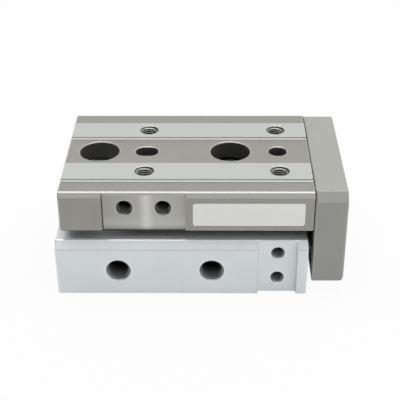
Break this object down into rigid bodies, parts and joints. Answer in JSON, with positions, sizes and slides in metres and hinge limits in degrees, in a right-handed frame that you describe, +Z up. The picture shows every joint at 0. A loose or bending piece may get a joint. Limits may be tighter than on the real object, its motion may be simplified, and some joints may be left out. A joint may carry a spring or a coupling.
{
  "type": "pneumatic slide table",
  "caption": "Compact air-driven slide table: a tapped table rides on recirculating balls over a ported body, pushed by twin cylinders through an end plate.",
  "frame": {"origin": "on the underside, below the middle of the retracted slide's overall length and width", "axes": "+X is the way the table extends, towards the end plate; +Z is up, out of the table; the air ports open towards -Y"},
  "size_m": [0.048, 0.0306, 0.0195],
  "materials": {
    "body_anodised": "light silver anodised, fine satin",
    "table_steel": "machined and plated stainless steel, with bright ground lands",
    "plate_anodised": "grey hard anodised, matt",
    "guide_steel": "hardened and ground",
    "ball_steel": "polished",
    "bright_steel": "turned or punched stainless steel",
    "rod_chrome": "hard chromed and polished",
    "dark_screws": "black oxide",
    "cover_resin": "moulded black acetal",
    "rod_cover_brass": "turned",
    "piston_brass": "turned",
    "magnet_black": "bonded magnet, matt",
    "seal_rubber": "nitrile rubber",
    "bumper_rubber": "urethane rubber",
    "label_film": "bare pale film"
  },
  "bodies": {
    "base": {"body": "body_anodised", "long_duct_plug": "bright_steel", "head_duct_plug": "bright_steel", "guide_block": "guide_steel", "guide_screws": "dark_screws", "rear_return_cover": "cover_resin", "front_return_cover": "cover_resin", "rear_scraper": "bright_steel", "front_scraper": "bright_steel", "cover_screws": "bright_steel", "turning_balls": "ball_steel", "left_head_cap": "cover_resin", "right_head_cap": "cover_resin", "left_head_ring": "dark_screws", "right_head_ring": "dark_screws", "left_cap_o_ring": "seal_rubber", "right_cap_o_ring": "seal_rubber", "left_head_bumper": "bumper_rubber", "right_head_bumper": "bumper_rubber", "left_rod_cover": "rod_cover_brass", "right_rod_cover": "rod_cover_brass", "left_rod_ring": "dark_screws", "right_rod_ring": "dark_screws", "left_cover_o_ring": "seal_rubber", "right_cover_o_ring": "seal_rubber", "left_rod_seal": "seal_rubber", "right_rod_seal": "seal_rubber", "left_rod_bumper": "bumper_rubber", "right_rod_bumper": "bumper_rubber"},
    "table_unit": {"table": "table_steel", "label_plate": "label_film", "end_plate": "plate_anodised", "plate_screws": "dark_screws", "end_bumper": "bumper_rubber", "left_piston": "piston_brass", "right_piston": "piston_brass", "left_piston_seal": "seal_rubber", "right_piston_seal": "seal_rubber", "left_magnet": "magnet_black", "right_magnet": "magnet_black", "left_magnet_holder": "bright_steel", "right_magnet_holder": "bright_steel", "left_piston_rod": "rod_chrome", "right_piston_rod": "rod_chrome", "left_floating_bush": "bright_steel", "right_floating_bush": "bright_steel", "left_rod_screw": "dark_screws", "right_rod_screw": "dark_screws"},
    "loaded_ball_rows": {"loaded_balls": "ball_steel"},
    "return_ball_rows": {"return_balls": "ball_steel"}
  },
  "joints": [
    {"name": "table_slide", "type": "slide", "parent": "base", "child": "table_unit", "axis": [1, 0, 0], "range_m": [0, 0.01]},
    {"name": "loaded_roll", "type": "slide", "parent": "base", "child": "loaded_ball_rows", "axis": [1, 0, 0], "range_m": [0, 0.005]},
    {"name": "return_roll", "type": "slide", "parent": "base", "child": "return_ball_rows", "axis": [1, 0, 0], "range_m": [-0.005, 0]}
  ],
  "couplings": [
    {"joint": "loaded_roll", "follows": "table_slide", "ratio": 0.5},
    {"joint": "return_roll", "follows": "table_slide", "ratio": -0.5}
  ]
}
